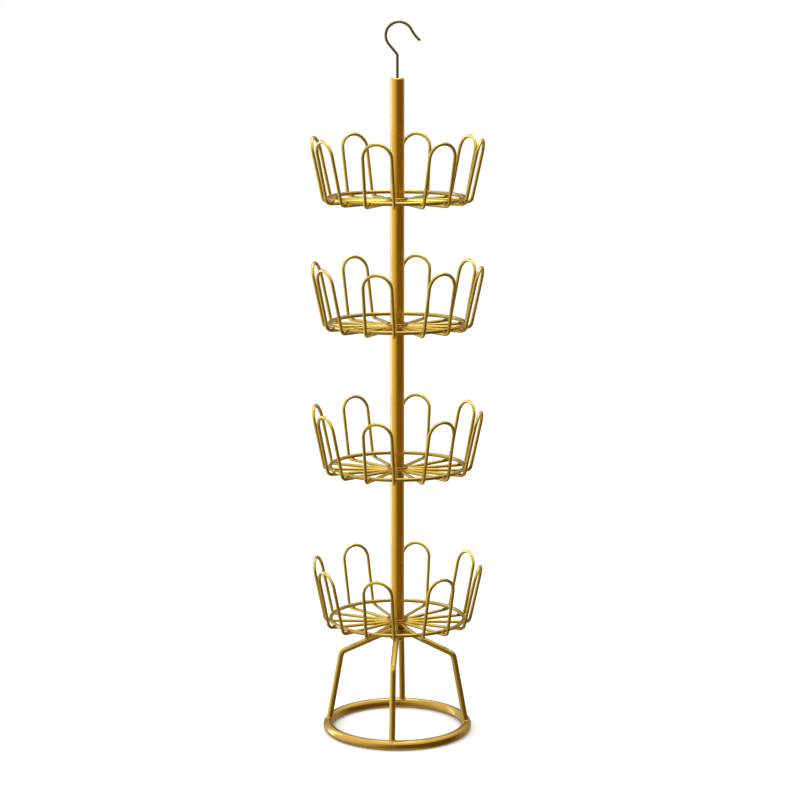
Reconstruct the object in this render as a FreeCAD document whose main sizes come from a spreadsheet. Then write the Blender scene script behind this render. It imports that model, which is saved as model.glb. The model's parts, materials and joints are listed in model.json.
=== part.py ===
import FreeCAD, Part
import math
import os
import re

import Sketcher

# Rotating shoe tower: four wire tiers on a jointed pole, which turns on a base of bent rods and a tube ring.
# Millimetres, +Z up. The origin is on the floor at the middle of the base ring, and a petal points along +X.

TIERS = 4
PETALS = 8
LEGS = 4

SIZES = {
    # Whole tower, from the floor to the top of the hook
    "overall_height": 1280,
    # Base ring: round tube, pressed a little flat underneath
    "base_diameter": 270,
    "base_tube": 18,
    "base_tube_wall": 1.2,
    "base_flat": 0.5,
    # Legs: an arm from the base hub, a shoulder and a slanting leg down to the ring
    "leg_rod": 11,
    "leg_shoulder_radius": 102,
    "leg_shoulder_height": 142,
    "leg_bend": 14,
    "leg_turn": 9.2,
    "arm_drop": 7,
    # Base hub with its two bushes, the thrust washer and the nut below
    "base_hub_diameter": 26,
    "base_hub_height": 22,
    "bush_wall": 2.5,
    "bush_sleeve": 5,
    "bush_flange_diameter": 20,
    "bush_flange": 2,
    "thrust_washer_diameter": 24,
    "thrust_washer_thickness": 1.5,
    "nut_pocket_depth": 9.5,
    "lock_nut_flats": 16,
    "lock_nut_hex": 5,
    "lock_nut_flange": 1.5,
    "lock_nut_flange_diameter": 19.5,
    # Spindle
    "spindle_diameter": 10,
    # Tiers: the level of the lowest one's spokes, then the runs of pole above each tier, the lowest first.
    # What the overall height leaves over, or takes away, is shared evenly among the runs.
    "lowest_tier_level": 201.5,
    "pole_run_4": 281,
    "pole_run_3": 259,
    "pole_run_2": 223,
    "pole_run_1": 215.5,
    "tier_diameter": 310,
    "tier_hub_diameter": 38,
    "tier_hub_height": 14,
    "tier_hub_web": 4,
    "petal_wire": 6,
    "petal_height": 110,
    "petal_flare": 24,
    "petal_bend": 9,
    "ring_wire": 7,
    "ring_inset": 10,
    # Pole with the threaded inserts and studs that join its sections
    "pole_diameter": 25,
    "pole_wall": 1.2,
    "insert_length": 14,
    "stud_diameter": 10,
    "stud_reach": 12,
    # Cap and swivel hook
    "cap_thickness": 3,
    "cap_spigot": 12,
    "cap_spigot_wall": 2,
    "hook_wire": 5,
    "hook_stem": 4,
    "hook_neck": 41.3,
    "hook_neck_bend": 8,
    "hook_lean": 40,
    "hook_slant": 23,
    "hook_eye_radius": 23.5,
    "hook_mouth_angle": 27,
    "hook_tip": 23,
    "hook_tip_angle": 22,
    "hook_turn": 13.5,
    "hook_nut_flats": 7,
    "hook_nut_height": 5,
    # Clearances and edge breaks
    "weld_gap": 0.1,
    "thrust_gap": 0.1,
    "running_clearance": 0.05,
    "press_clearance": 0.1,
    "socket_clearance": 0.1,
    "seat_gap": 0.2,
    "pocket_clearance": 0.5,
    "edge_break": 1,
}

doc = FreeCAD.newDocument("shoe_tower")
sheet = doc.addObject("Spreadsheet::Sheet", "Sizes")
for row, (alias, number) in enumerate(SIZES.items(), start=1):
    sheet.set(f"A{row}", alias)
    sheet.set(f"B{row}", str(number))
    sheet.setAlias(f"B{row}", alias)
doc.recompute()

UP = FreeCAD.Vector(0, 0, 1)
SIZE_NAME = re.compile(r"[a-z]+(?:_[a-z0-9]+)+")


def bound(expression):
    """An expression in the sheet's names, as an object outside the sheet writes it."""
    return SIZE_NAME.sub(r"Sizes.\g<0>", expression)


def size(expression):
    """The number that an expression in the sheet's names gives."""
    return float(sheet.evalExpression(expression))


def bind(piece, **expressions):
    """Bind properties of a piece to expressions in the sheet's names."""
    for name, expression in expressions.items():
        piece.setExpression(name, bound(expression))


def place(piece, level, turn=0):
    """Stand a piece at a level on the tower's axis, turned about it by some degrees."""
    piece.Placement = FreeCAD.Placement(FreeCAD.Vector(0, 0, size(level)), FreeCAD.Rotation(UP, turn))
    piece.setExpression("Placement.Base.z", bound(level))
    return piece


# Levels and shared sizes, as expressions in the sheet's names

eye_height = "hook_neck + hook_slant * cos(hook_lean * 1 deg) + hook_eye_radius * sin(hook_lean * 1 deg)"
pole_top = f"overall_height - ({eye_height}) - hook_eye_radius - hook_wire / 2"

all_runs = " - ".join(f"pole_run_{tier}" for tier in range(1, TIERS + 1))
run_change = f"({pole_top} - lowest_tier_level - {all_runs}) / {TIERS}"
tier_level = {TIERS: "lowest_tier_level"}
for tier in range(TIERS - 1, 0, -1):
    tier_level[tier] = f"{tier_level[tier + 1]} + pole_run_{tier + 1} + {run_change}"

spindle_shoulder = "lowest_tier_level - tier_hub_height / 2"
base_hub_top = f"{spindle_shoulder} - thrust_gap - thrust_washer_thickness - bush_flange"
base_hub_bottom = f"{base_hub_top} - base_hub_height"
nut_pocket_roof = f"{base_hub_bottom} + nut_pocket_depth"
lock_nut_top = f"{nut_pocket_roof} - bush_flange - seat_gap"
lock_nut_bottom = f"{lock_nut_top} - lock_nut_flange - lock_nut_hex"

bush_bore = "spindle_diameter / 2 + running_clearance"
bush_outside = f"{bush_bore} + bush_wall"
pole_bore = "pole_diameter / 2 - pole_wall"
stud_hole = "stud_diameter / 2 + running_clearance"
stem_hole = "hook_stem / 2 + running_clearance"


def turned_part(label, profile):
    """A body turned about Z from a closed outline of corners, each a radius and a height as expressions."""
    body = doc.addObject("PartDesign::Body", label)
    sketch = body.newObject("Sketcher::SketchObject", label + "_outline")
    plane = next(item for item in body.Origin.OriginFeatures if item.Role == "XZ_Plane")
    sketch.AttachmentSupport = [(plane, "")]
    sketch.MapMode = "FlatFace"
    corners = [FreeCAD.Vector(size(radius), size(height), 0) for radius, height in profile]
    count = len(corners)
    for index in range(count):
        sketch.addGeometry(Part.LineSegment(corners[index], corners[(index + 1) % count]), False)
    for index in range(count):
        sketch.addConstraint(Sketcher.Constraint("Coincident", index, 2, (index + 1) % count, 1))
    for index, distances in enumerate(profile):
        for kind, expression in zip(("DistanceX", "DistanceY"), distances):
            constraint = Sketcher.Constraint(kind, -1, 1, index, 1, size(expression))
            number_of_constraint = sketch.addConstraint(constraint)
            sketch.setExpression(f"Constraints[{number_of_constraint}]", bound(expression))
    turning = body.newObject("PartDesign::Revolution", label + "_turning")
    turning.Profile = sketch
    turning.ReferenceAxis = (sketch, ["V_Axis"])
    turning.Angle = 360
    body.Tip = turning
    return body


def tube(label, inner_radius, outer_radius, length):
    """A plain round tube, bush or washer that stands on its own origin."""
    return turned_part(label, [
        (inner_radius, "0"),
        (outer_radius, "0"),
        (outer_radius, length),
        (inner_radius, length),
    ])


def rounded_path(corners):
    """Edges of straight runs joined by tangent arcs: each corner is a point and the radius of its arc."""
    edges = []
    here = corners[0][0]
    for (before, _), (corner, radius), (after, _) in zip(corners, corners[1:], corners[2:]):
        back = (before - corner).normalize()
        ahead = (after - corner).normalize()
        half_turn = (math.pi - back.getAngle(ahead)) / 2
        reach = radius * math.tan(half_turn)
        inward = (back + ahead).normalize() * (radius / math.cos(half_turn) - radius)
        arc_start = corner + back * reach
        arc_end = corner + ahead * reach
        edges += straight_run(here, arc_start)
        edges.append(Part.Arc(arc_start, corner + inward, arc_end).toShape())
        here = arc_end
    return edges + straight_run(here, corners[-1][0])


def straight_run(start, end):
    """One straight edge, or none where two arcs meet."""
    shortest = 0.001
    if start.distanceToPoint(end) < shortest:
        return []
    return [Part.LineSegment(start, end).toShape()]


def wire_route(label, edges, diameter):
    """The route of a bent wire and the round section at its start."""
    route = doc.addObject("Part::Feature", label + "_route")
    route.Shape = Part.Wire(edges)
    first = route.Shape.OrderedEdges[0]
    section = doc.addObject("Part::Circle", label + "_section")
    bind(section, Radius=f"{diameter} / 2")
    start = first.valueAt(first.FirstParameter)
    heading = first.tangentAt(first.FirstParameter)
    section.Placement = FreeCAD.Placement(start, FreeCAD.Rotation(UP, heading))
    return route, section


def bent_wire(label, route, section):
    """A round wire swept along its route."""
    wire = doc.addObject("Part::Sweep", label)
    wire.Sections = [section]
    wire.Spine = (route, [f"Edge{number}" for number in range(1, len(route.Shape.Edges) + 1)])
    wire.Solid = True
    return wire


def ring(label, radius, wire_radius, level):
    """A round bar or wire bent to a full ring about the axis."""
    torus = doc.addObject("Part::Torus", label)
    bind(torus, Radius1=radius, Radius2=wire_radius)
    return place(torus, level)


def disc(label, radius, height, level):
    """A plain cylinder on the axis."""
    cylinder = doc.addObject("Part::Cylinder", label)
    bind(cylinder, Radius=radius, Height=height)
    return place(cylinder, level)


def cut(label, base, tool):
    """One solid less another."""
    result = doc.addObject("Part::Cut", label)
    result.Base = base
    result.Tool = tool
    return result


def hexagon(label, flats, height, level):
    """A hexagonal bar on the axis, measured across its flats."""
    prism = doc.addObject("Part::Prism", label)
    prism.Polygon = 6
    bind(prism, Circumradius=f"{flats} / 2 / cos(30 deg)", Height=height)
    return place(prism, level)


def group(label, members):
    """Identical loose solids under one name."""
    compound = doc.addObject("Part::Compound", label)
    compound.Links = members
    return compound


# Base

def make_base_ring():
    """The tube ring on the floor, hollow, with a narrow flat underneath."""
    radius = "base_diameter / 2 - base_tube / 2"
    level = "base_tube / 2 - base_flat"
    outside = ring("base_ring_outside", radius, "base_tube / 2", level)
    inside = ring("base_ring_inside", radius, "base_tube / 2 - base_tube_wall", level)
    floor = disc("base_ring_floor", "base_diameter", "base_tube", "-base_tube")
    return cut("base_ring", cut("base_ring_tube", outside, inside), floor)


def make_base_legs():
    """Four bent rods, cut to the outside of the base hub and to the top of the base ring."""
    hub_side = FreeCAD.Vector(size("base_hub_diameter / 2"), 0, size(f"{base_hub_top} - arm_drop"))
    shoulder = FreeCAD.Vector(size("leg_shoulder_radius"), 0, size("leg_shoulder_height"))
    foot = FreeCAD.Vector(size("base_diameter / 2 - base_tube / 2"), 0, size("base_tube / 2 - base_flat"))
    sunk_end = hub_side + (hub_side - shoulder).normalize() * size("base_hub_diameter / 2")
    edges = rounded_path([(sunk_end, 0), (shoulder, size("leg_bend")), (foot, 0)])
    route, section = wire_route("base_leg", edges, "leg_rod")
    above_arms = f"{base_hub_top} + base_hub_diameter"
    hub_cut = disc("base_leg_hub_cut", "base_hub_diameter / 2 + weld_gap", above_arms, "0")
    ring_cut = ring("base_leg_ring_cut", "base_diameter / 2 - base_tube / 2", "base_tube / 2 + weld_gap",
                    "base_tube / 2 - base_flat")
    legs = []
    for number in range(1, LEGS + 1):
        name = f"base_leg_{number}"
        rod = bent_wire(name + "_rod", route, section)
        leg = cut(name, cut(name + "_arm", rod, hub_cut), ring_cut)
        legs.append(place(leg, "0", size("leg_turn") + 360 / LEGS * (number - 1)))
    return legs


def make_base_hub():
    """The sleeve that holds the bushes, with a pocket below for the nut."""
    bore = f"{bush_outside} + press_clearance"
    pocket = "bush_flange_diameter / 2 + pocket_clearance"
    outside = "base_hub_diameter / 2"
    hub = turned_part("base_hub", [
        (pocket, "0"),
        (f"{outside} - edge_break", "0"),
        (outside, "edge_break"),
        (outside, "base_hub_height - edge_break"),
        (f"{outside} - edge_break", "base_hub_height"),
        (bore, "base_hub_height"),
        (bore, "nut_pocket_depth"),
        (pocket, "nut_pocket_depth"),
    ])
    return place(hub, base_hub_bottom)


def make_bush(label):
    """A flanged bush, sleeve down and flange up."""
    return turned_part(label, [
        (bush_bore, "0"),
        (bush_outside, "0"),
        (bush_outside, "bush_sleeve"),
        ("bush_flange_diameter / 2", "bush_sleeve"),
        ("bush_flange_diameter / 2", "bush_sleeve + bush_flange"),
        (bush_bore, "bush_sleeve + bush_flange"),
    ])


def make_bushes():
    """One bush let into the hub from above, and the same bush turned over from below."""
    upper = place(make_bush("upper_bush"), f"{base_hub_top} - bush_sleeve")
    lower = place(make_bush("lower_bush"), f"{nut_pocket_roof} + bush_sleeve")
    lower.Placement.Rotation = FreeCAD.Rotation(FreeCAD.Vector(1, 0, 0), 180)
    return [upper, lower]


def make_thrust_washer():
    """The washer on the upper bush that carries the tower."""
    washer = tube("thrust_washer", bush_bore, "thrust_washer_diameter / 2", "thrust_washer_thickness")
    return place(washer, f"{base_hub_top} + bush_flange")


# Column

def make_spindle():
    """The turned pin: shaft in the bushes, head in the lowest hub, stud up into the pole."""
    shaft = f"{spindle_shoulder} - ({lock_nut_bottom})"
    head_top = f"{shaft} + (tier_hub_height - tier_hub_web) / 2"
    stud_top = f"{head_top} + tier_hub_web + stud_reach"
    spindle = turned_part("spindle", [
        ("0", "0"),
        ("spindle_diameter / 2 - edge_break", "0"),
        ("spindle_diameter / 2", "edge_break"),
        ("spindle_diameter / 2", shaft),
        ("pole_diameter / 2", shaft),
        ("pole_diameter / 2", head_top),
        ("stud_diameter / 2", head_top),
        ("stud_diameter / 2", f"{stud_top} - edge_break"),
        ("stud_diameter / 2 - edge_break", stud_top),
        ("0", stud_top),
    ])
    return place(spindle, lock_nut_bottom)


def make_lock_nut():
    """The flanged nut on the spindle's lower end."""
    nut = doc.addObject("Part::Fuse", "lock_nut_blank")
    nut.Base = hexagon("lock_nut_hexagon", "lock_nut_flats", "lock_nut_hex", lock_nut_bottom)
    nut.Tool = disc("lock_nut_collar", "lock_nut_flange_diameter / 2", "lock_nut_flange",
                    f"{lock_nut_top} - lock_nut_flange")
    thread = disc("lock_nut_thread", "spindle_diameter / 2 + press_clearance",
                  "lock_nut_hex + lock_nut_flange", lock_nut_bottom)
    return cut("lock_nut", nut, thread)


def make_pole_sections():
    """The tube from each hub up to the next one, and from the top hub to the cap."""
    sections = []
    for tier in range(1, TIERS + 1):
        if tier == 1:
            length = f"{pole_top} - cap_thickness - ({tier_level[tier]}) - tier_hub_web / 2"
        else:
            length = f"pole_run_{tier} + {run_change} - tier_hub_web"
        section = tube(f"pole_section_{tier}", pole_bore, "pole_diameter / 2", length)
        sections.append(place(section, f"{tier_level[tier]} + tier_hub_web / 2"))
    return sections


def make_pole_inserts():
    """Threaded plugs, flush with the ends of the pole sections that meet at the hubs."""
    inserts = []
    for tier in range(1, TIERS + 1):
        above = f"{tier_level[tier]} + tier_hub_web / 2"
        below = f"{tier_level[tier]} - tier_hub_web / 2 - insert_length"
        ends = [above] if tier == TIERS else [above, below]
        for level in ends:
            name = f"pole_insert_{len(inserts) + 1}"
            insert = tube(name, stud_hole, f"{pole_bore} - press_clearance", "insert_length")
            inserts.append(place(insert, level))
    return group("pole_inserts", inserts)


def make_joiner_studs():
    """The studs through the hubs above the lowest one."""
    length = "tier_hub_web + 2 * stud_reach"
    studs = []
    for tier in range(1, TIERS):
        stud = turned_part(f"joiner_stud_{tier}", [
            ("0", "0"),
            ("stud_diameter / 2 - edge_break", "0"),
            ("stud_diameter / 2", "edge_break"),
            ("stud_diameter / 2", f"{length} - edge_break"),
            ("stud_diameter / 2 - edge_break", length),
            ("0", length),
        ])
        studs.append(place(stud, f"{tier_level[tier]} - tier_hub_web / 2 - stud_reach"))
    return group("joiner_studs", studs)


def make_tier_hub(tier):
    """The collar of a tier: a socket for the pole above and below, and a web between them."""
    socket = "pole_diameter / 2 + socket_clearance"
    outside = "tier_hub_diameter / 2"
    web_top = "tier_hub_height / 2 + tier_hub_web / 2"
    web_bottom = "tier_hub_height / 2 - tier_hub_web / 2"
    hub = turned_part(f"tier_{tier}_hub", [
        (socket, "0"),
        (f"{outside} - edge_break", "0"),
        (outside, "edge_break"),
        (outside, "tier_hub_height - edge_break"),
        (f"{outside} - edge_break", "tier_hub_height"),
        (socket, "tier_hub_height"),
        (socket, web_top),
        (stud_hole, web_top),
        (stud_hole, web_bottom),
        (socket, web_bottom),
    ])
    return place(hub, f"{tier_level[tier]} - tier_hub_height / 2")


def petal_edges():
    """The route of one petal on the +X side: spoke, elbow, leg, arch and the same way back to the hub."""
    spoke_angle = math.pi / PETALS / 2
    hub_reach = size("tier_hub_diameter / 2 + weld_gap")
    foot_x = size("tier_diameter / 2 - petal_wire / 2 - petal_flare")
    half_width = foot_x * math.tan(spoke_angle)
    rise = FreeCAD.Vector(size("petal_flare"), 0, size("petal_height"))
    near_end = FreeCAD.Vector(hub_reach * math.cos(spoke_angle), hub_reach * math.sin(spoke_angle), 0)
    near_foot = FreeCAD.Vector(foot_x, half_width, 0)
    far_end = FreeCAD.Vector(near_end.x, -near_end.y, 0)
    far_foot = FreeCAD.Vector(foot_x, -half_width, 0)
    elbow = size("petal_bend")
    return rounded_path([
        (near_end, 0),
        (near_foot, elbow),
        (near_foot + rise, half_width),
        (far_foot + rise, half_width),
        (far_foot, elbow),
        (far_end, 0),
    ])


def make_tiers():
    """Each tier: its hub, its ring on top of the spokes and its petals."""
    route, section = wire_route("petal", petal_edges(), "petal_wire")
    spoke_turn = 180 / PETALS / 2
    foot_radius = f"(tier_diameter / 2 - petal_wire / 2 - petal_flare) / cos({spoke_turn} deg)"
    on_spokes = "petal_wire / 2 + weld_gap + ring_wire / 2"
    parts = []
    for tier in range(1, TIERS + 1):
        level = tier_level[tier]
        parts.append(make_tier_hub(tier))
        parts.append(ring(f"tier_{tier}_ring", f"{foot_radius} - ring_inset", "ring_wire / 2",
                          f"{level} + {on_spokes}"))
        for number in range(1, PETALS + 1):
            petal = bent_wire(f"tier_{tier}_petal_{number}", route, section)
            parts.append(place(petal, level, 360 / PETALS * (number - 1)))
    return parts


# Cap and hook

def make_top_cap():
    """The disc that closes the pole, with a hollow spigot inside the tube."""
    spigot = f"{pole_bore} - press_clearance"
    outside = "pole_diameter / 2"
    top = "cap_spigot + cap_thickness"
    cap = turned_part("top_cap", [
        (f"{spigot} - cap_spigot_wall", "0"),
        (spigot, "0"),
        (spigot, "cap_spigot"),
        (outside, "cap_spigot"),
        (outside, f"{top} - edge_break"),
        (f"{outside} - edge_break", top),
        (stem_hole, top),
        (stem_hole, "cap_spigot"),
        (f"{spigot} - cap_spigot_wall", "cap_spigot"),
    ])
    return place(cap, f"{pole_top} - cap_thickness - cap_spigot")


def hook_edges():
    """The hook's route above the cap: neck, kink, slant, the eye's arc and the curled-back tip."""
    heading = math.radians(90 + size("hook_lean"))
    mouth = math.radians(size("hook_mouth_angle"))
    radius = size("hook_eye_radius")
    neck = FreeCAD.Vector(0, 0, size("thrust_gap"))
    kink = FreeCAD.Vector(0, 0, size("hook_neck"))
    slant_end = kink + polar(heading) * size("hook_slant")
    eye = slant_end + polar(heading - math.pi / 2) * radius
    eye_start = heading + math.pi / 2
    eye_end = eye + polar(mouth) * radius
    over_the_top = eye + polar((eye_start + mouth) / 2) * radius
    curl = math.radians(size("hook_tip_angle"))
    curl_radius = size("hook_tip") / curl
    curl_centre = eye_end + polar(mouth) * curl_radius
    half_way = curl_centre + polar(mouth + math.pi + curl / 2) * curl_radius
    tip = curl_centre + polar(mouth + math.pi + curl) * curl_radius
    edges = rounded_path([(neck, 0), (kink, size("hook_neck_bend")), (slant_end, 0)])
    edges.append(Part.Arc(slant_end, over_the_top, eye_end).toShape())
    edges.append(Part.Arc(eye_end, half_way, tip).toShape())
    return edges, tip


def polar(angle):
    """A unit vector in the hook's plane, at an angle from +X towards +Z."""
    return FreeCAD.Vector(math.cos(angle), 0, math.sin(angle))


def make_hook():
    """The bent wire with a rounded tip, turned down to a thin stem where it goes through the cap."""
    edges, tip = hook_edges()
    route, section = wire_route("hook", edges, "hook_wire")
    stem_length = "cap_thickness + seat_gap + hook_nut_height"
    stem = disc("hook_stem", "hook_stem / 2", f"{stem_length} + thrust_gap", f"-({stem_length})")
    rounded_tip = doc.addObject("Part::Sphere", "hook_tip_round")
    bind(rounded_tip, Radius="hook_wire / 2")
    rounded_tip.Placement.Base = tip
    hook = doc.addObject("Part::MultiFuse", "hook")
    hook.Shapes = [bent_wire("hook_wire", route, section), stem, rounded_tip]
    return place(hook, pole_top, size("hook_turn"))


def make_hook_nut():
    """The small nut under the cap, on the hook's stem."""
    level = f"{pole_top} - cap_thickness - seat_gap - hook_nut_height"
    blank = hexagon("hook_nut_hexagon", "hook_nut_flats", "hook_nut_height", level)
    thread = disc("hook_nut_thread", "hook_stem / 2 + press_clearance", "hook_nut_height", level)
    return cut("hook_nut", blank, thread)


pieces = [make_base_ring()]
pieces += make_base_legs()
pieces.append(make_base_hub())
pieces += make_bushes()
pieces += [make_thrust_washer(), make_spindle(), make_lock_nut()]
pieces += make_pole_sections()
pieces += [make_pole_inserts(), make_joiner_studs()]
pieces += make_tiers()
pieces += [make_top_cap(), make_hook(), make_hook_nut()]
doc.recompute()

# Every feature has to be sound before anything is written

for feature in doc.Objects:
    if "Invalid" in feature.State or "Error" in feature.State:
        raise RuntimeError(f"{feature.Label} failed: {feature.State}")
for piece in pieces:
    if piece.Shape.isNull() or not piece.Shape.isValid():
        raise RuntimeError(f"{piece.Label} has no valid shape")

os.makedirs("parts", exist_ok=True)
for piece in pieces:
    piece.Shape.exportStep(f"parts/{piece.Label}.step")

whole = Part.makeCompound([piece.Shape for piece in pieces]).BoundBox
print(f"{len(pieces)} pieces, {whole.XLength:.2f} x {whole.YLength:.2f} x {whole.ZLength:.2f} mm")
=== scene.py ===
import json
import math
import random

import bmesh
import bpy
from mathutils import Matrix, Vector


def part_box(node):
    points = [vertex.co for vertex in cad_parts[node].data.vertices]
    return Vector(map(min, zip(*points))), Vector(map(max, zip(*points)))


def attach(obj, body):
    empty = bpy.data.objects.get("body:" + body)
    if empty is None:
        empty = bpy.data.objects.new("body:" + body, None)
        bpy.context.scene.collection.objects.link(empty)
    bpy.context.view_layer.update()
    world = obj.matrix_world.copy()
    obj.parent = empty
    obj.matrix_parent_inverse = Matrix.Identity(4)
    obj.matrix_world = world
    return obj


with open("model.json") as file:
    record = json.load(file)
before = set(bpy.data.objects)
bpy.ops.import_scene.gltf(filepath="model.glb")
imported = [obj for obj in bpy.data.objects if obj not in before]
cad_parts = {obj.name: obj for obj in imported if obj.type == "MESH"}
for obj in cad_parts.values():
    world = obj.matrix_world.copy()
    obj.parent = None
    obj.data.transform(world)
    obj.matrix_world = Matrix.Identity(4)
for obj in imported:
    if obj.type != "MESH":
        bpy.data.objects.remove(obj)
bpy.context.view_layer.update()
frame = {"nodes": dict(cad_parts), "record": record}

# Rotating shoe tower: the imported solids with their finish, the welds that hold the wires, and a pale studio.
# Metres, +Z up, in the frame of the solids.

TIERS = 4
SPOKES = 16
LEGS = 4

# The photograph's camera, turned to the tower's axis. The lens is shifted, so that the axis is at its column
# and the level that the camera is aimed at is at its row.
PHOTO_SIZE = 800
CAMERA_TURN = math.radians(13.5)
CAMERA_DISTANCE = 4.12
CAMERA_HEIGHT = 1.35
CAMERA_PITCH = math.radians(9.7)
CAMERA_REACH = 200
FOCAL_PIXELS = 2343
AXIS_COLUMN = 397.3
AIM_ROW = 379.9
SENSOR = 36

# Directions in the photograph, level with the floor, and upwards
RIGHT = Vector((math.cos(CAMERA_TURN), math.sin(CAMERA_TURN), 0))
AWAY = Vector((-math.sin(CAMERA_TURN), math.cos(CAMERA_TURN), 0))
UP = Vector((0, 0, 1))

# Sizes of the solids that their boxes don't give
LEG_RADIUS = 0.0055
LEG_TURN = math.radians(9.2)
ARM_DROP = 0.007
SHOULDER = Vector((0.102, 0, 0.142))

# Lacquer colours, as light reflects from them: the thin coat, the thick one and the rubbed spots
TUBE_GOLD = ((0.790, 0.480, 0.062), (0.730, 0.420, 0.046), (0.830, 0.570, 0.130))
# The base ring's gold paint is darkened as painted shade, for the dark shaded streaks on it
RING_GOLD_PAINTED_SHADE = ((0.560, 0.362, 0.060), (0.480, 0.294, 0.044), (0.670, 0.480, 0.118))
# The tier rings' gold is darkened below the wires' gold as painted shade, for the shade and dark reflections
# on them
HOOP_GOLD_PAINTED_SHADE = ((0.480, 0.340, 0.056), (0.400, 0.270, 0.040), (0.600, 0.450, 0.112))
ROD_GOLD = ((0.590, 0.425, 0.078), (0.510, 0.348, 0.056), (0.700, 0.540, 0.140))
WIRE_GOLD = ((0.630, 0.470, 0.076), (0.550, 0.388, 0.054), (0.730, 0.580, 0.140))
# The hook's dark olive is the gold paint darkened as painted shade, which also damps the highlight on its lit
# side
HOOK_GOLD_PAINTED_SHADE = ((0.225, 0.185, 0.036), (0.178, 0.142, 0.025), (0.330, 0.280, 0.080))
# The hubs' bronze-like tone is painted shade: the gold paint darkened where the spokes shade the hub
HUB_GOLD_PAINTED_SHADE = ((0.460, 0.225, 0.020), (0.350, 0.155, 0.012), (0.620, 0.370, 0.090))

# Lacquers by name: the colours, the roughness, and the patches of thicker paint to the metre
LACQUERS = {
    "gold_wire": (WIRE_GOLD, 0.16, 26),
    "gold_rod": (ROD_GOLD, 0.20, 18),
    "gold_ring_painted_shade": (RING_GOLD_PAINTED_SHADE, 0.18, 12),
    "gold_hoop_painted_shade": (HOOP_GOLD_PAINTED_SHADE, 0.18, 26),
    "gold_tube": (TUBE_GOLD, 0.22, 9),
    "gold_cap": (TUBE_GOLD, 0.28, 40),
    "hub_gold_painted_shade": (HUB_GOLD_PAINTED_SHADE, 0.28, 60),
    "gold_hook_painted_shade": (HOOK_GOLD_PAINTED_SHADE, 0.24, 30),
    "gold_weld": (WIRE_GOLD, 0.34, 120),
}

# Fine structure of the lacquer, in spots to the metre
FLAKE_GRAIN = 2600
RUBBED_GRAIN = 48
SHINE_GRAIN = 60
PEEL_GRAIN = 900
WAVE_GRAIN = 35

# The two tones of each of the other materials, and their grain in spots to the metre
ZINC_TONES = ((0.60, 0.61, 0.63), (0.44, 0.45, 0.48))
ZINC_GRAIN = 90
TURNING_MARKS = 420
NYLON_TONES = ((0.012, 0.012, 0.013), (0.030, 0.029, 0.028))
NYLON_GRAIN = 150
NYLON_FINE_GRAIN = 1800
PAPER_TONES = ((0.93, 0.93, 0.925), (0.95, 0.95, 0.95))
PAPER_GRAIN = 1.5

# Edges of a solid that turn by more than this stay sharp
SHARP_EDGE = math.radians(35)

# A weld's seam is looked for this many rod radii up and down the rod, by halving
SEAM_REACH = 3
SEAM_HALVINGS = 30

# Weld beads: the ripples and chance are shares of a bead's radius
BEAD_SIDES = 8
RIPPLE_DEPTH = 0.16
RIPPLE_CHANCE = 0.08
SPOKE_BEAD_RADII = (0.0007, 0.0010)
SPOKE_BEAD_POINTS = 18
SPOKE_BEAD_RIPPLES = 5
LEG_BEAD_RADIUS = 0.0015
LEG_BEAD_POINTS = 36
LEG_BEAD_RIPPLES = 11
BASE_WELD_SEED = 9

# Weld nuggets: half their size out from the axis, along the ring and upwards, and the chance in it
NUGGET_EXTENTS = (0.0036, 0.0033, 0.0013)
NUGGET_CHANCE = 0.10

FLOOR_HALF = 60
FLOOR_CELLS = 8

# What the metal mirrors level with it, by heading: 0 degrees is towards the camera, 90 to the right
STUDIO_WALLS = (
    (-180, (0.200, 0.140, 0.050)),
    (-152, (0.500, 0.450, 0.320)),
    (-128, (1.130, 1.130, 1.090)),
    (-84, (1.110, 1.090, 0.990)),
    (-46, (0.860, 0.775, 0.555)),
    (4, (0.190, 0.104, 0.012)),
    (92, (0.155, 0.085, 0.010)),
    (128, (0.540, 0.440, 0.270)),
    (152, (0.420, 0.340, 0.200)),
    (180, (0.200, 0.140, 0.050)),
)

# What the metal mirrors above and below the walls, each with the rise of a direction where it sets in
# and where it is full. Where the low dark is full, it has only its share, and the walls have the rest.
STUDIO_ROOF = (1.380, 1.290, 1.000)
ROOF_RISE = (0.28, 0.78)
STUDIO_LOW = (0.145, 0.086, 0.020)
LOW_RISE = (-0.20, -0.60)
LOW_SHARE = 0.65
STUDIO_FLOOR = (0.620, 0.530, 0.340)
FLOOR_RISE = (-0.86, -0.98)

# What matt surfaces, such as the floor, and the camera get from the studio
MATT_LIGHT = (1.12, 1.12, 1.12)
BACKDROP = (1.0, 1.0, 1.0)

# Lamps: how far each is to the right of, behind and above the point that it is turned to, its width and
# height, its watts, its colour and whether the metal mirrors it
LAMP_TARGET = Vector((0, 0, 0.62))
LAMPS = {
    "key": ((-2.2, -1.1, 1.4), (1.6, 2.2), 30, (1.0, 0.97, 0.92), False),
    "top": ((0.0, 0.4, 2.6), (1.6, 1.6), 24, (1.0, 0.99, 0.97), True),
    "strip": ((-2.0, 1.1, 0.0), (0.6, 2.4), 8, (1.0, 0.98, 0.93), True),
}


def box_size(node):
    """The extents of a solid's box."""
    low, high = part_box(node)
    return high - low


def box_middle(node):
    """The middle of a solid's box."""
    low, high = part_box(node)
    return (low + high) / 2


def from_axis(point):
    """How far a point is from the tower's axis."""
    return math.hypot(point.x, point.y)


# Materials

class NodeMaker:
    """Adds nodes to a material or world, with their values set by name."""

    def __init__(self, tree):
        self.nodes = tree.nodes
        self.links = tree.links

    def add(self, kind, values=None, **settings):
        """A new node with its settings and input values."""
        node = self.nodes.new(kind)
        for name, value in settings.items():
            setattr(node, name, value)
        for name, value in (values or {}).items():
            node.inputs[name].default_value = value
        return node

    def link(self, source, target):
        """Joins an output to an input."""
        self.links.new(source, target)


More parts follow.
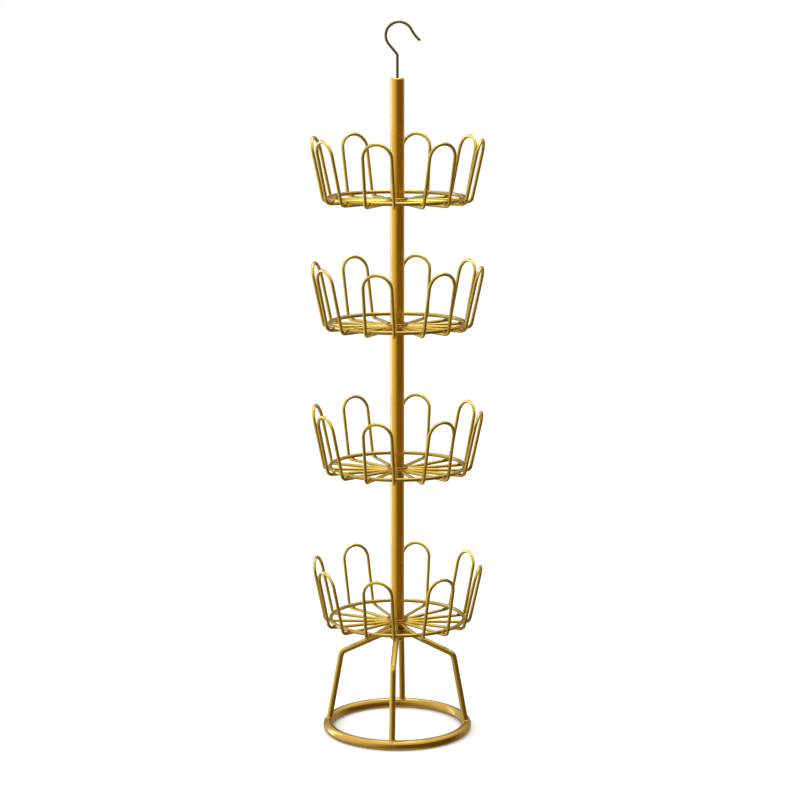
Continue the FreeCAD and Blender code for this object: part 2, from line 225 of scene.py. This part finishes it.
def new_material(name):
    """An empty material with its shader and a texture space in the tower's metres."""
    material = bpy.data.materials.new(name)
    material.use_nodes = True
    maker = NodeMaker(material.node_tree)
    shader = material.node_tree.nodes["Principled BSDF"]
    place = maker.add("ShaderNodeTexCoord").outputs["Object"]
    return material, maker, shader, place


def noise(maker, place, scale, detail=3.0, roughness=0.55):
    """A noise field at some number of patches to the metre."""
    field = maker.add("ShaderNodeTexNoise", {"Scale": scale, "Detail": detail, "Roughness": roughness})
    maker.link(place, field.inputs["Vector"])
    return field.outputs["Fac"]


def remap(maker, source, span, result):
    """A value moved from one range to another, held inside the new one."""
    node = maker.add("ShaderNodeMapRange")
    node.inputs["From Min"].default_value, node.inputs["From Max"].default_value = span
    node.inputs["To Min"].default_value, node.inputs["To Max"].default_value = result
    maker.link(source, node.inputs["Value"])
    return node.outputs["Result"]


def mix_colour(maker, share, first, second):
    """Two colours, or a colour over a socket, mixed by a share."""
    node = maker.add("ShaderNodeMix", data_type="RGBA")
    maker.link(share, node.inputs["Factor"])
    for value, socket in ((first, node.inputs["A"]), (second, node.inputs["B"])):
        if isinstance(value, tuple):
            socket.default_value = (*value, 1)
        else:
            maker.link(value, socket)
    return node.outputs["Result"]


def bump(maker, height, strength, distance, under=None):
    """A bump from a height field, on top of another bump where one is given."""
    node = maker.add("ShaderNodeBump", {"Strength": strength, "Distance": distance})
    maker.link(height, node.inputs["Height"])
    if under is not None:
        maker.link(under, node.inputs["Normal"])
    return node.outputs["Normal"]


def metal_lacquer(name, colours, gloss, mottle):
    """Gold lacquer, also in darker copies that carry painted shade: patches of thicker paint, fine flakes,
    rubbed spots and a faint orange peel.
    """
    material, maker, shader, place = new_material(name)
    thin, thick, rubbed = colours
    patches = remap(maker, noise(maker, place, mottle), (0.35, 0.70), (0.0, 0.7))
    painted = mix_colour(maker, patches, thin, thick)
    flakes = maker.add("ShaderNodeTexVoronoi", {"Scale": FLAKE_GRAIN})
    maker.link(place, flakes.inputs["Vector"])
    sparkle = maker.add("ShaderNodeSeparateColor")
    maker.link(flakes.outputs["Color"], sparkle.inputs["Color"])
    flake_share = remap(maker, sparkle.outputs["Red"], (0.72, 1.0), (0.0, 0.10))
    flaked = mix_colour(maker, flake_share, painted, rubbed)
    rubbing = remap(maker, noise(maker, place, RUBBED_GRAIN, detail=5), (0.62, 0.76), (0.0, 0.30))
    maker.link(mix_colour(maker, rubbing, flaked, rubbed), shader.inputs["Base Color"])
    shine = remap(maker, noise(maker, place, SHINE_GRAIN), (0.3, 0.7), (gloss - 0.03, gloss + 0.05))
    maker.link(shine, shader.inputs["Roughness"])
    peeled = bump(maker, noise(maker, place, PEEL_GRAIN, detail=2), strength=0.03, distance=0.0003)
    waved = bump(maker, noise(maker, place, WAVE_GRAIN), strength=0.04, distance=0.0012, under=peeled)
    maker.link(waved, shader.inputs["Normal"])
    shader.inputs["Metallic"].default_value = 0.97
    shader.inputs["Coat Weight"].default_value = 0.8
    shader.inputs["Coat IOR"].default_value = 1.5
    shader.inputs["Coat Roughness"].default_value = 0.14
    return material


def zinc_steel(name):
    """Zinc-plated steel: grey, a little cloudy, with turning marks round the axis."""
    material, maker, shader, place = new_material(name)
    clouds = remap(maker, noise(maker, place, ZINC_GRAIN), (0.35, 0.65), (0.0, 1.0))
    maker.link(mix_colour(maker, clouds, *ZINC_TONES), shader.inputs["Base Color"])
    marks = maker.add("ShaderNodeTexWave", {"Scale": TURNING_MARKS, "Distortion": 1.5}, bands_direction="Z")
    maker.link(place, marks.inputs["Vector"])
    maker.link(bump(maker, marks.outputs["Fac"], strength=0.15, distance=0.0002), shader.inputs["Normal"])
    maker.link(remap(maker, clouds, (0.0, 1.0), (0.26, 0.42)), shader.inputs["Roughness"])
    shader.inputs["Metallic"].default_value = 1.0
    return material


def black_nylon(name):
    """Moulded black nylon with a fine matt grain."""
    material, maker, shader, place = new_material(name)
    grain = noise(maker, place, NYLON_FINE_GRAIN, detail=2)
    tint = remap(maker, noise(maker, place, NYLON_GRAIN), (0.3, 0.7), (0.0, 1.0))
    maker.link(mix_colour(maker, tint, *NYLON_TONES), shader.inputs["Base Color"])
    maker.link(bump(maker, grain, strength=0.25, distance=0.0002), shader.inputs["Normal"])
    maker.link(remap(maker, grain, (0.3, 0.7), (0.42, 0.58)), shader.inputs["Roughness"])
    return material


def floor_paper(name):
    """Pale studio paper."""
    material, maker, shader, place = new_material(name)
    tone = remap(maker, noise(maker, place, PAPER_GRAIN), (0.3, 0.7), (0.0, 1.0))
    maker.link(mix_colour(maker, tone, *PAPER_TONES), shader.inputs["Base Color"])
    shader.inputs["Roughness"].default_value = 0.85
    shader.inputs["Specular IOR Level"].default_value = 0.0
    return material


def make_finishes():
    """The tower's materials by name."""
    finishes = {name: metal_lacquer(name, *values) for name, values in LACQUERS.items()}
    finishes["zinc_steel"] = zinc_steel("zinc_steel")
    finishes["black_nylon"] = black_nylon("black_nylon")
    return finishes


def finish_name(node, slot):
    """The finish of a solid: by its slot, or by its own name where the slot is gold paint."""
    if slot in ("zinc_steel", "black_nylon"):
        return slot
    if node.startswith("pole_section"):
        return "gold_tube"
    # Hubs get the darkened gold, which is painted shade
    if node.endswith("hub"):
        return "hub_gold_painted_shade"
    if node == "top_cap":
        return "gold_cap"
    if node.startswith("base_leg"):
        return "gold_rod"
    # The base ring gets its gold darkened for painted shade
    if node == "base_ring":
        return "gold_ring_painted_shade"
    # Tier rings get the gold darkened for painted shade
    if node.endswith("ring"):
        return "gold_hoop_painted_shade"
    # The hook gets the gold darkened for painted shade
    if node == "hook":
        return "gold_hook_painted_shade"
    return "gold_wire"


def dress_solids(finishes):
    """Gives every solid its finish and smooth shading."""
    slots = {part["node"]: part["material_slot"] for part in frame["record"]["subparts"]}
    for name, solid in frame["nodes"].items():
        solid.data.materials.clear()
        solid.data.materials.append(finishes[finish_name(name, slots[name])])
        solid.data.shade_smooth()
        solid.data.set_sharp_from_angle(angle=SHARP_EDGE)


# Welds

def seam_points(foot, axis, radius, outside, count):
    """Points where the wall of a rod meets a surface.

    The axis leads out of the surface, and outside says how far out of it a point is.
    """
    side = axis.orthogonal().normalized()
    other = axis.cross(side)
    points = []
    for step in range(count):
        angle = 2 * math.pi * step / count
        start = foot + (side * math.cos(angle) + other * math.sin(angle)) * radius
        low = -SEAM_REACH * radius
        high = SEAM_REACH * radius
        for _ in range(SEAM_HALVINGS):
            middle = (low + high) / 2
            if outside(start + axis * middle) > 0:
                high = middle
            else:
                low = middle
        points.append(start + axis * high)
    return points


def add_bead(mesh, points, centre, radius, ripples, dice):
    """A rippled tube of weld along a closed row of points round a rod."""
    count = len(points)
    phase = dice.uniform(0, 2 * math.pi)
    rings = []
    for step, point in enumerate(points):
        along = (points[(step + 1) % count] - points[step - 1]).normalized()
        outward = point - centre
        outward = (outward - along * outward.dot(along)).normalized()
        across = along.cross(outward)
        wave = math.sin(ripples * 2 * math.pi * step / count + phase)
        ripple = 1 + RIPPLE_DEPTH * wave + dice.uniform(-RIPPLE_CHANCE, RIPPLE_CHANCE)
        ring = []
        for side in range(BEAD_SIDES):
            angle = 2 * math.pi * side / BEAD_SIDES
            offset = (outward * math.cos(angle) + across * math.sin(angle)) * radius * ripple
            ring.append(mesh.verts.new(point + offset))
        rings.append(ring)
    for step, near in enumerate(rings):
        far = rings[(step + 1) % count]
        for side in range(BEAD_SIDES):
            beyond = (side + 1) % BEAD_SIDES
            mesh.faces.new((near[side], far[side], far[beyond], near[beyond]))


def add_nugget(mesh, centre, turn, dice):
    """A small lump of weld between two crossing wires."""
    shape = Matrix.Diagonal((*NUGGET_EXTENTS, 1))
    place = Matrix.Translation(centre) @ Matrix.Rotation(turn, 4, "Z") @ shape
    made = bmesh.ops.create_icosphere(mesh, subdivisions=2, radius=1, matrix=place)
    for vert in made["verts"]:
        vert.co = centre + (vert.co - centre) * dice.uniform(1 - NUGGET_CHANCE, 1 + NUGGET_CHANCE)


def finish_weld(mesh, name, body, finish):
    """Turns collected weld metal into a piece that rides with what it joins."""
    bmesh.ops.recalc_face_normals(mesh, faces=mesh.faces)
    data = bpy.data.meshes.new(name)
    mesh.to_mesh(data)
    mesh.free()
    data.shade_smooth()
    data.materials.append(finish)
    piece = bpy.data.objects.new(name, data)
    bpy.context.scene.collection.objects.link(piece)
    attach(piece, body)


def make_tier_welds(finish):
    """The welds of each tier: spokes to the hub, and the ring to the spokes."""
    for tier in range(1, TIERS + 1):
        dice = random.Random(tier)
        hub = box_middle(f"tier_{tier}_hub")
        hub_radius = box_size(f"tier_{tier}_hub").x / 2
        ring_wire = box_size(f"tier_{tier}_ring").z
        ring_radius = box_size(f"tier_{tier}_ring").x / 2 - ring_wire / 2
        # The spokes are level with the hub's middle, and nothing of a petal is lower than they are
        wire_radius = hub.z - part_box(f"tier_{tier}_petal_1")[0].z

        def off_hub(point):
            return from_axis(point) - hub_radius

        hub_welds = bmesh.new()
        ring_welds = bmesh.new()
        for spoke in range(SPOKES):
            turn = 2 * math.pi * (spoke + 0.5) / SPOKES
            outward = Vector((math.cos(turn), math.sin(turn), 0))
            foot = hub + outward * hub_radius
            points = seam_points(foot, outward, wire_radius, off_hub, SPOKE_BEAD_POINTS)
            add_bead(hub_welds, points, foot, dice.uniform(*SPOKE_BEAD_RADII), SPOKE_BEAD_RIPPLES, dice)
            crossing = hub + outward * ring_radius + UP * wire_radius
            add_nugget(ring_welds, crossing, turn, dice)
        finish_weld(hub_welds, f"tier_{tier}_hub_welds", "column", finish)
        finish_weld(ring_welds, f"tier_{tier}_ring_welds", "column", finish)


def make_base_welds(finish):
    """The welds of the base: arms to the hub, and legs to the ring."""
    dice = random.Random(BASE_WELD_SEED)
    hub_low, hub_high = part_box("base_hub")
    hub_radius = (hub_high.x - hub_low.x) / 2
    ring_outside = box_size("base_ring").x / 2
    ring_inside = min(from_axis(corner.co) for corner in frame["nodes"]["base_ring"].data.vertices)
    tube_radius = (ring_outside - ring_inside) / 2
    ring_radius = ring_outside - tube_radius
    ring_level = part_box("base_ring")[1].z - tube_radius

    def off_hub(point):
        return from_axis(point) - hub_radius

    def off_ring(point):
        return math.hypot(from_axis(point) - ring_radius, point.z - ring_level) - tube_radius

    arm_foot = Vector((hub_radius, 0, hub_high.z - ARM_DROP))
    ring_foot = Vector((ring_radius, 0, ring_level))
    arm_axis = (SHOULDER - arm_foot).normalized()
    leg_axis = (SHOULDER - ring_foot).normalized()
    leg_foot = ring_foot + leg_axis * tube_radius
    arm_welds = bmesh.new()
    foot_welds = bmesh.new()
    seams = ((arm_welds, arm_foot, arm_axis, off_hub), (foot_welds, leg_foot, leg_axis, off_ring))
    for leg in range(LEGS):
        turn = Matrix.Rotation(LEG_TURN + 2 * math.pi * leg / LEGS, 3, "Z")
        for welds, foot, axis, outside in seams:
            points = seam_points(turn @ foot, turn @ axis, LEG_RADIUS, outside, LEG_BEAD_POINTS)
            add_bead(welds, points, turn @ foot, LEG_BEAD_RADIUS, LEG_BEAD_RIPPLES, dice)
    finish_weld(arm_welds, "base_arm_welds", "base", finish)
    finish_weld(foot_welds, "base_foot_welds", "base", finish)


# Studio

def make_floor():
    """A wide pale floor, left out of the metal's reflections, which the studio gives instead."""
    mesh = bmesh.new()
    bmesh.ops.create_grid(mesh, x_segments=FLOOR_CELLS, y_segments=FLOOR_CELLS, size=FLOOR_HALF)
    data = bpy.data.meshes.new("floor")
    mesh.to_mesh(data)
    mesh.free()
    data.materials.append(floor_paper("floor_paper"))
    floor = bpy.data.objects.new("floor", data)
    bpy.context.scene.collection.objects.link(floor)
    floor.visible_glossy = False


def wall_colour(maker, facing):
    """The mirrored walls, by the heading of a direction round the tower."""
    heading = maker.add("ShaderNodeMath", operation="ARCTAN2")
    for direction, socket in ((RIGHT, heading.inputs[0]), (-AWAY, heading.inputs[1])):
        part = maker.add("ShaderNodeVectorMath", operation="DOT_PRODUCT")
        part.inputs[1].default_value = direction
        maker.link(facing, part.inputs[0])
        maker.link(part.outputs["Value"], socket)
    walls = maker.add("ShaderNodeValToRGB")
    turned = remap(maker, heading.outputs["Value"], (-math.pi, math.pi), (0.0, 1.0))
    maker.link(turned, walls.inputs["Fac"])
    stops = walls.color_ramp.elements
    # New stops start in the middle of the ramp, and all get their places after that
    while len(stops) < len(STUDIO_WALLS):
        stops.new(0.5)
    for stop, (degrees, colour) in zip(stops, STUDIO_WALLS):
        stop.position = degrees / 360 + 0.5
        stop.color = (*colour, 1)
    return walls.outputs["Color"]


def make_world():
    """A studio that is white to the camera and to matt surfaces.

    The metal mirrors bright walls on the left and dark ones on the right, a bright roof and a dim floor.
    """
    world = bpy.data.worlds.new("studio")
    bpy.context.scene.world = world
    world.use_nodes = True
    world.cycles.sampling_method = "NONE"
    maker = NodeMaker(world.node_tree)
    facing = maker.add("ShaderNodeTexCoord").outputs["Generated"]
    split = maker.add("ShaderNodeSeparateXYZ")
    maker.link(facing, split.inputs["Vector"])
    rise = split.outputs["Z"]
    overhead = remap(maker, rise, ROOF_RISE, (0.0, 1.0))
    walls_and_roof = mix_colour(maker, overhead, wall_colour(maker, facing), STUDIO_ROOF)
    below = remap(maker, rise, LOW_RISE, (0.0, LOW_SHARE))
    far_floor = mix_colour(maker, below, walls_and_roof, STUDIO_LOW)
    underfoot = remap(maker, rise, FLOOR_RISE, (0.0, 1.0))
    mirrored = mix_colour(maker, underfoot, far_floor, STUDIO_FLOOR)
    ray = maker.add("ShaderNodeLightPath")
    scattered = mix_colour(maker, ray.outputs["Is Diffuse Ray"], mirrored, MATT_LIGHT)
    seen = mix_colour(maker, ray.outputs["Is Camera Ray"], scattered, BACKDROP)
    background = world.node_tree.nodes["Background"]
    maker.link(seen, background.inputs["Color"])
    background.inputs["Strength"].default_value = 1.0


def make_lights():
    """A key on the left that the metal doesn't mirror, a lamp overhead and a tall strip at the back left."""
    for name, ((right, away, up), size, power, colour, mirrored) in LAMPS.items():
        data = bpy.data.lights.new(name, "AREA")
        data.shape = "RECTANGLE"
        data.size, data.size_y = size
        data.energy = power
        data.color = colour
        lamp = bpy.data.objects.new(name, data)
        bpy.context.scene.collection.objects.link(lamp)
        offset = RIGHT * right + AWAY * away + UP * up
        lamp.location = LAMP_TARGET + offset
        lamp.rotation_euler = (-offset).to_track_quat("-Z", "Y").to_euler()
        lamp.visible_glossy = mirrored


def make_camera():
    """The camera where the photograph was taken from."""
    data = bpy.data.cameras.new("camera")
    data.sensor_width = SENSOR
    data.lens = FOCAL_PIXELS * SENSOR / PHOTO_SIZE
    data.shift_x = (PHOTO_SIZE / 2 - AXIS_COLUMN) / PHOTO_SIZE
    data.shift_y = (AIM_ROW - PHOTO_SIZE / 2) / PHOTO_SIZE
    data.clip_end = CAMERA_REACH
    camera = bpy.data.objects.new("camera", data)
    bpy.context.scene.collection.objects.link(camera)
    camera.location = UP * CAMERA_HEIGHT - AWAY * CAMERA_DISTANCE
    camera.rotation_euler = (math.pi / 2 - CAMERA_PITCH, 0, CAMERA_TURN)
    bpy.context.scene.camera = camera


tower_finishes = make_finishes()
dress_solids(tower_finishes)
make_tier_welds(tower_finishes["gold_weld"])
make_base_welds(tower_finishes["gold_weld"])
make_floor()
make_world()
make_lights()
make_camera()
bpy.context.scene.view_settings.view_transform = "Standard"
